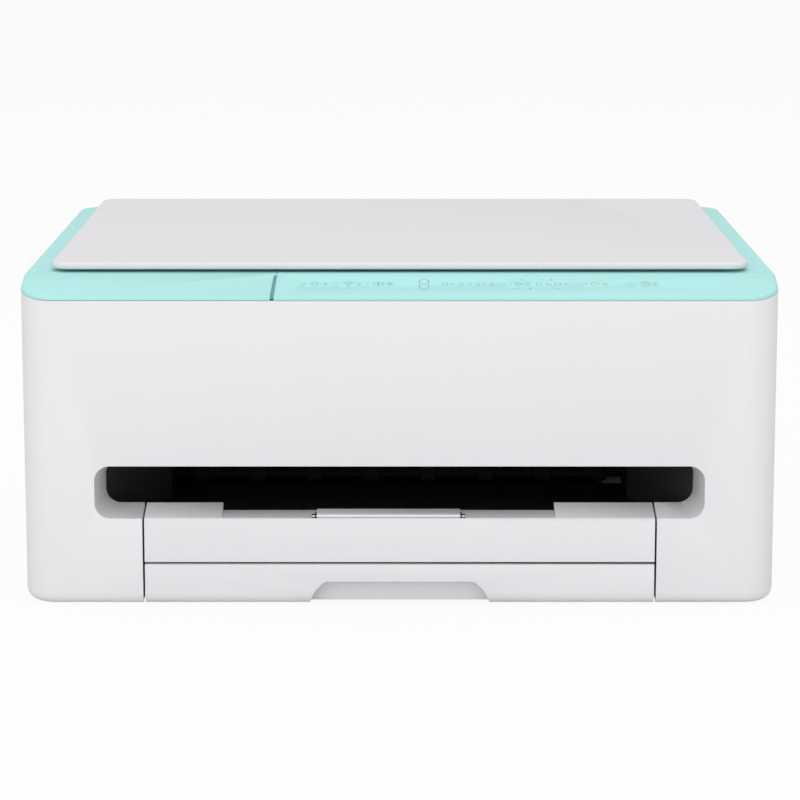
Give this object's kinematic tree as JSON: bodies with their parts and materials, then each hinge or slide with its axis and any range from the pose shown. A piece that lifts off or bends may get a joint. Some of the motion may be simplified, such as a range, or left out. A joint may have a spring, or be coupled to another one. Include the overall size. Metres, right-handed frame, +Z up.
{
  "type": "multifunction printer",
  "caption": "Desktop ink-jet printer and flatbed scanner with a hinged cover, a mint operation panel, a front paper cassette and an output tray.",
  "frame": {"origin": "middle of the footprint on the table", "axes": "+X to the right seen from the front, -Y out of the front with the output slot, +Z up"},
  "size_m": [0.372, 0.315, 0.1669],
  "materials": {
    "case_white": "fine matt grain",
    "foot_rubber": "matt",
    "steel": "bright zinc",
    "black_plastic": "matt black",
    "dark_plastic": "matt dark grey",
    "board_green": "solder mask",
    "felt": "felt",
    "tray_grey": "matt",
    "guide_grey": "matt",
    "gear_white": "natural acetal",
    "roller_grit": "grit coated",
    "roller_rubber": "ground rubber",
    "motor_steel": "plated",
    "brass": "machined",
    "belt_rubber": "matt",
    "clear_film": "clear film",
    "cartridge_black": "matt",
    "lever_grey": "matt",
    "mint": "matt mint",
    "mint_key": "matt mint",
    "glass": "float glass",
    "tub_grey": "matt",
    "cover_white": "fine matt grain",
    "foam_white": "white sheet on foam"
  },
  "bodies": {
    "base": {"bottom_case": "case_white", "main_case": "case_white", "rubber_feet": "foot_rubber", "case_screws": "steel", "ac_inlet": "black_plastic", "usb_port": "steel", "power_supply": "dark_plastic", "main_board": "board_green", "ink_absorber": "felt", "output_guide": "black_plastic", "engine_frame": "dark_plastic", "carriage_rail": "steel", "platen": "black_plastic", "purge_unit": "black_plastic", "feed_motor": "motor_steel", "carriage_motor": "motor_steel", "carriage_belt": "belt_rubber", "encoder_strip": "clear_film"},
    "rear_cover": {"rear_cover": "case_white"},
    "output_tray": {"output_tray": "black_plastic", "output_tray_front": "case_white"},
    "output_support": {"output_support": "case_white"},
    "cassette": {"cassette_tray": "tray_grey"},
    "cassette_extension": {"cassette_front": "case_white"},
    "width_guide_left": {"width_guide_left": "guide_grey"},
    "width_guide_right": {"width_guide_right": "guide_grey"},
    "guide_pinion": {"guide_pinion": "gear_white"},
    "length_guide": {"length_guide": "guide_grey"},
    "feed_roller": {"feed_roller": "roller_grit", "feed_gear": "gear_white"},
    "idler_gear": {"idler_gear": "gear_white"},
    "exit_roller": {"exit_roller": "roller_rubber", "exit_gear": "gear_white"},
    "feed_pinion": {"feed_pinion": "brass"},
    "pinch_rollers": {"pinch_rollers": "roller_rubber"},
    "carriage": {"carriage_body": "dark_plastic", "black_cartridge": "cartridge_black", "colour_cartridge": "cartridge_black"},
    "black_lock_lever": {"black_lock_lever": "lever_grey"},
    "colour_lock_lever": {"colour_lock_lever": "lever_grey"},
    "motor_pulley": {"motor_pulley": "gear_white"},
    "idler_pulley": {"idler_pulley": "gear_white"},
    "pickup_arm": {"pickup_arm": "dark_plastic"},
    "pickup_roller": {"pickup_roller": "roller_rubber"},
    "scanner": {"scanner_base": "tub_grey", "scanner_frame": "mint", "control_panel": "mint", "control_board": "board_green", "platen_glass": "glass", "scan_rail": "steel", "cover_hinges": "cover_white"},
    "sensor_bar": {"sensor_bar": "black_plastic"},
    "document_cover": {"document_cover": "cover_white", "cover_pad": "foam_white"},
    "key_power": {"key_power": "mint_key"},
    "key_network": {"key_network": "mint_key"},
    "key_copies": {"key_copies": "mint_key"},
    "key_black_start": {"key_black_start": "mint_key"},
    "key_colour_start": {"key_colour_start": "mint_key"},
    "key_stop": {"key_stop": "mint_key"}
  },
  "joints": [
    {"name": "scanner_lift", "type": "hinge", "parent": "base", "child": "scanner", "pos_m": [0, 0.1546, 0.1578], "axis": [-1, 0, 0], "range_deg": [0, 38]},
    {"name": "cover_open", "type": "hinge", "parent": "scanner", "child": "document_cover", "pos_m": [0, 0.1533, 0.1652], "axis": [-1, 0, 0], "range_deg": [0, 80]},
    {"name": "rear_cover_open", "type": "hinge", "parent": "base", "child": "rear_cover", "pos_m": [0, 0.1547, 0.0331], "axis": [-1, 0, 0], "range_deg": [0, 75]},
    {"name": "output_tray_slide", "type": "slide", "parent": "base", "child": "output_tray", "axis": [0, -1, 0], "range_m": [0, 0.1]},
    {"name": "output_support_turn", "type": "hinge", "parent": "output_tray", "child": "output_support", "pos_m": [0, -0.1555, 0.04495], "axis": [1, 0, 0], "range_deg": [0, 150]},
    {"name": "cassette_slide", "type": "slide", "parent": "base", "child": "cassette", "axis": [0, -1, 0], "range_m": [0, 0.235]},
    {"name": "cassette_extension_slide", "type": "slide", "parent": "cassette", "child": "cassette_extension", "axis": [0, -1, 0], "range_m": [0, 0.055]},
    {"name": "width_guide_left_slide", "type": "slide", "parent": "cassette", "child": "width_guide_left", "axis": [1, 0, 0], "range_m": [0, 0.053]},
    {"name": "width_guide_right_slide", "type": "slide", "parent": "cassette", "child": "width_guide_right", "axis": [-1, 0, 0], "range_m": [0, 0.053]},
    {"name": "guide_pinion_turn", "type": "hinge", "parent": "cassette", "child": "guide_pinion", "pos_m": [0, 0.03, 0.01], "axis": [0, 0, 1], "continuous": true},
    {"name": "length_guide_slide", "type": "slide", "parent": "cassette_extension", "child": "length_guide", "axis": [0, 1, 0], "range_m": [0, 0.085]},
    {"name": "feed_roller_turn", "type": "hinge", "parent": "base", "child": "feed_roller", "pos_m": [0, 0.014, 0.047], "axis": [1, 0, 0], "continuous": true},
    {"name": "idler_gear_turn", "type": "hinge", "parent": "base", "child": "idler_gear", "pos_m": [0, -0.01761, 0.052], "axis": [1, 0, 0], "continuous": true},
    {"name": "exit_roller_turn", "type": "hinge", "parent": "base", "child": "exit_roller", "pos_m": [0, -0.046, 0.044], "axis": [1, 0, 0], "continuous": true},
    {"name": "feed_pinion_turn", "type": "hinge", "parent": "base", "child": "feed_pinion", "pos_m": [0, 0.03031, 0.03939], "axis": [1, 0, 0], "continuous": true},
    {"name": "pinch_rollers_turn", "type": "hinge", "parent": "base", "child": "pinch_rollers", "pos_m": [0, 0.014, 0.0546], "axis": [1, 0, 0], "continuous": true},
    {"name": "carriage_slide", "type": "slide", "parent": "base", "child": "carriage", "axis": [1, 0, 0], "range_m": [-0.235, 0]},
    {"name": "black_lever_turn", "type": "hinge", "parent": "carriage", "child": "black_lock_lever", "pos_m": [0.124, 0.0353, 0.103], "axis": [-1, 0, 0], "range_deg": [0, 45]},
    {"name": "colour_lever_turn", "type": "hinge", "parent": "carriage", "child": "colour_lock_lever", "pos_m": [0.152, 0.0353, 0.103], "axis": [-1, 0, 0], "range_deg": [0, 45]},
    {"name": "motor_pulley_turn", "type": "hinge", "parent": "base", "child": "motor_pulley", "pos_m": [-0.136, 0.054, 0.1], "axis": [0, 0, 1], "continuous": true},
    {"name": "idler_pulley_turn", "type": "hinge", "parent": "base", "child": "idler_pulley", "pos_m": [0.158, 0.054, 0.1], "axis": [0, 0, 1], "continuous": true},
    {"name": "pickup_arm_drop", "type": "hinge", "parent": "base", "child": "pickup_arm", "pos_m": [0, 0.055, 0.036], "axis": [-1, 0, 0], "range_deg": [0, 10]},
    {"name": "pickup_roller_turn", "type": "hinge", "parent": "pickup_arm", "child": "pickup_roller", "pos_m": [0, 0.086, 0.031], "axis": [1, 0, 0], "continuous": true},
    {"name": "sensor_slide", "type": "slide", "parent": "scanner", "child": "sensor_bar", "axis": [1, 0, 0], "range_m": [0, 0.28]},
    {"name": "key_power_press", "type": "slide", "parent": "scanner", "child": "key_power", "axis": [0, 0.2535, -0.9673], "range_m": [0, 0.0006], "stiffness_N_per_m": 300, "springref_m": -0.001},
    {"name": "key_network_press", "type": "slide", "parent": "scanner", "child": "key_network", "axis": [0, 0.2535, -0.9673], "range_m": [0, 0.0006], "stiffness_N_per_m": 300, "springref_m": -0.001},
    {"name": "key_copies_press", "type": "slide", "parent": "scanner", "child": "key_copies", "axis": [0, 0.2535, -0.9673], "range_m": [0, 0.0006], "stiffness_N_per_m": 300, "springref_m": -0.001},
    {"name": "key_black_start_press", "type": "slide", "parent": "scanner", "child": "key_black_start", "axis": [0, 0.2535, -0.9673], "range_m": [0, 0.0006], "stiffness_N_per_m": 300, "springref_m": -0.001},
    {"name": "key_colour_start_press", "type": "slide", "parent": "scanner", "child": "key_colour_start", "axis": [0, 0.2535, -0.9673], "range_m": [0, 0.0006], "stiffness_N_per_m": 300, "springref_m": -0.001},
    {"name": "key_stop_press", "type": "slide", "parent": "scanner", "child": "key_stop", "axis": [0, 0.2535, -0.9673], "range_m": [0, 0.0006], "stiffness_N_per_m": 300, "springref_m": -0.001}
  ],
  "couplings": [
    {"joint": "width_guide_right_slide", "follows": "width_guide_left_slide", "ratio": 1},
    {"joint": "guide_pinion_turn", "follows": "width_guide_left_slide", "rad_per_m": -198},
    {"joint": "idler_gear_turn", "follows": "feed_roller_turn", "ratio": -0.6},
    {"joint": "exit_roller_turn", "follows": "feed_roller_turn", "ratio": 1.2632},
    {"joint": "feed_pinion_turn", "follows": "feed_roller_turn", "ratio": -2},
    {"joint": "pinch_rollers_turn", "follows": "feed_roller_turn", "ratio": -2},
    {"joint": "motor_pulley_turn", "follows": "carriage_slide", "rad_per_m": 166.67},
    {"joint": "idler_pulley_turn", "follows": "carriage_slide", "rad_per_m": 166.67}
  ]
}
